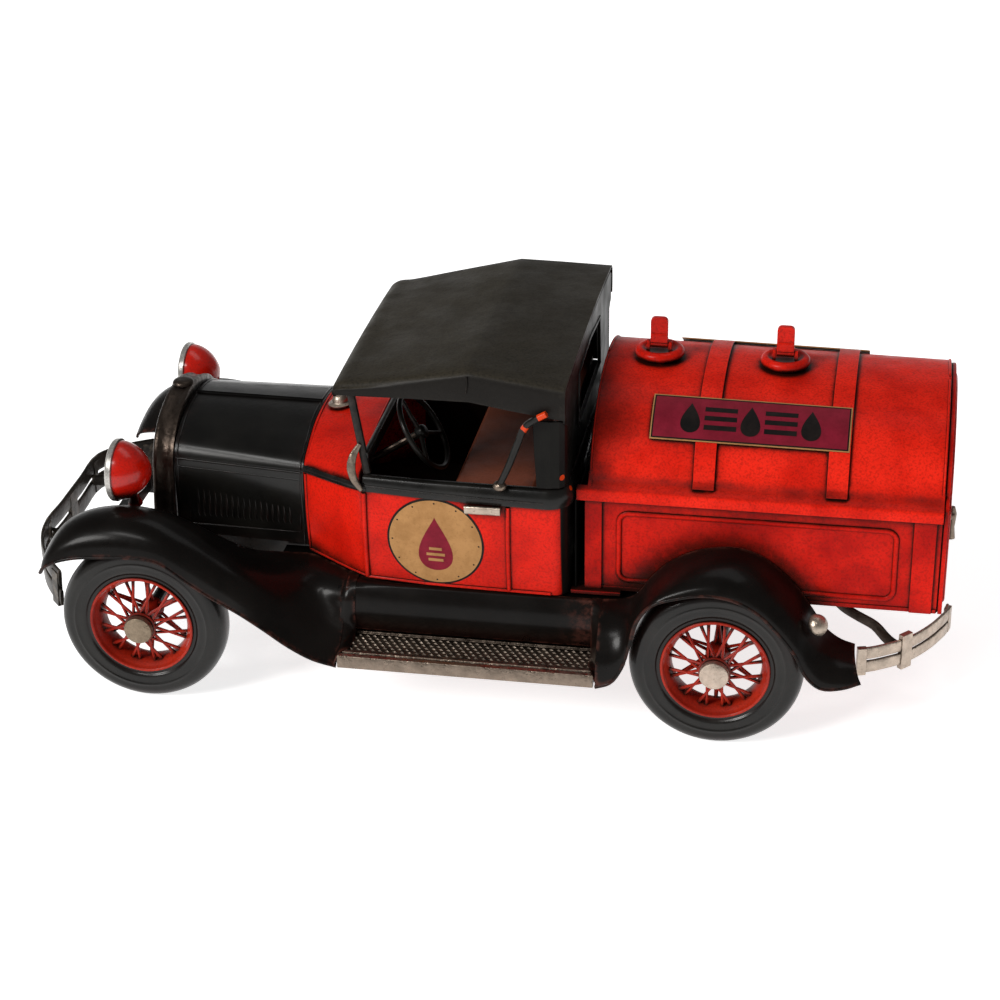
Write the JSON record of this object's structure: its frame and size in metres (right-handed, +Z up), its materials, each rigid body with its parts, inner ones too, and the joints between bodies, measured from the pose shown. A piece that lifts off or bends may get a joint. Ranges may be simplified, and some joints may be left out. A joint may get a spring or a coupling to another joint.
{
  "type": "toy tanker truck",
  "caption": "Pressed-metal toy tanker truck with an open-sided cab, soft-top roof, a rounded tank over a panelled bed, wire wheels that roll and folding filler levers.",
  "frame": {"origin": "centre of the bounding box on the ground plane under the tyres", "axes": "+Z up, front of the truck towards -X, the truck's left side (steering side) towards -Y"},
  "size_m": [0.3244, 0.1404, 0.1305],
  "materials": {
    "black_satin": "satin black paint, rubbed at the edges",
    "red_gloss": "satin red paint with a dark antiquing wash in the creases",
    "wheel_orange_red": "satin orange-red paint with dark wash",
    "tyre_black": "smooth dark rubber",
    "worn_steel": "aged silver",
    "pewter": "aged pewter-grey metal with dark wash",
    "core_grey": "dark grey metal",
    "seat_brown": "dark brown paint",
    "lens_silver": "bright silver"
  },
  "bodies": {
    "truck": {"chassis_frame": "black_satin", "front_axle": "black_satin", "rear_axle": "black_satin", "hood": "black_satin", "belt_rail": "black_satin", "windshield_frame": "black_satin", "cab_roof": "black_satin", "cab_back_panel": "black_satin", "top_iron_left": "black_satin", "top_iron_right": "black_satin", "front_fender_left": "black_satin", "front_fender_right": "black_satin", "rear_fender_left": "black_satin", "rear_fender_right": "black_satin", "splash_apron_left": "black_satin", "splash_apron_right": "black_satin", "front_bumper": "black_satin", "cowl": "red_gloss", "cab_body": "red_gloss", "tank_shell": "red_gloss", "tank_strap_front": "red_gloss", "tank_strap_rear": "red_gloss", "filler_cap_front": "red_gloss", "filler_cap_rear": "red_gloss", "bed_box": "red_gloss", "rear_panel": "red_gloss", "headlamp_shell_left": "red_gloss", "headlamp_shell_right": "red_gloss", "steering_column": "worn_steel", "tail_lamp": "worn_steel", "door_handle_left": "worn_steel", "door_handle_right": "worn_steel", "radiator_shell": "pewter", "running_board_left": "pewter", "running_board_right": "pewter", "rear_bumperette_left": "pewter", "rear_bumperette_right": "pewter", "drain_tap": "pewter", "radiator_core": "core_grey", "seat": "seat_brown", "headlamp_rim_left": "lens_silver", "headlamp_rim_right": "lens_silver", "cowl_filler_cap": "lens_silver"},
    "wheel_front_left_set": {"wheel_front_left": "wheel_orange_red", "tyre_front_left": "tyre_black", "hubcap_front_left": "worn_steel"},
    "wheel_front_right_set": {"wheel_front_right": "wheel_orange_red", "tyre_front_right": "tyre_black", "hubcap_front_right": "worn_steel"},
    "wheel_rear_left_set": {"wheel_rear_left": "wheel_orange_red", "tyre_rear_left": "tyre_black", "hubcap_rear_left": "worn_steel"},
    "wheel_rear_right_set": {"wheel_rear_right": "wheel_orange_red", "tyre_rear_right": "tyre_black", "hubcap_rear_right": "worn_steel"},
    "steering": {"steering_wheel": "black_satin"},
    "lever_front": {"filler_lever_front": "red_gloss"},
    "lever_rear": {"filler_lever_rear": "red_gloss"}
  },
  "joints": [
    {"name": "front_left_wheel_roll", "type": "hinge", "parent": "truck", "child": "wheel_front_left_set", "pos_m": [-0.11533, -0.058, 0.0296], "axis": [0, 1, 0], "continuous": true},
    {"name": "front_right_wheel_roll", "type": "hinge", "parent": "truck", "child": "wheel_front_right_set", "pos_m": [-0.11533, 0.058, 0.0296], "axis": [0, 1, 0], "continuous": true},
    {"name": "rear_left_wheel_roll", "type": "hinge", "parent": "truck", "child": "wheel_rear_left_set", "pos_m": [0.08467, -0.058, 0.0296], "axis": [0, 1, 0], "continuous": true},
    {"name": "rear_right_wheel_roll", "type": "hinge", "parent": "truck", "child": "wheel_rear_right_set", "pos_m": [0.08467, 0.058, 0.0296], "axis": [0, 1, 0], "continuous": true},
    {"name": "steering_wheel_turn", "type": "hinge", "parent": "truck", "child": "steering", "pos_m": [-0.02113, -0.025, 0.0928], "axis": [0.84, 0, 0.5426], "continuous": true},
    {"name": "filler_lever_front_swing", "type": "hinge", "parent": "truck", "child": "lever_front", "pos_m": [0.05727, -0.0022, 0.12071], "axis": [-1, 0, 0], "range_deg": [0, 80]},
    {"name": "filler_lever_rear_swing", "type": "hinge", "parent": "truck", "child": "lever_rear", "pos_m": [0.10027, -0.0022, 0.1199], "axis": [-1, 0, 0], "range_deg": [0, 80]}
  ]
}
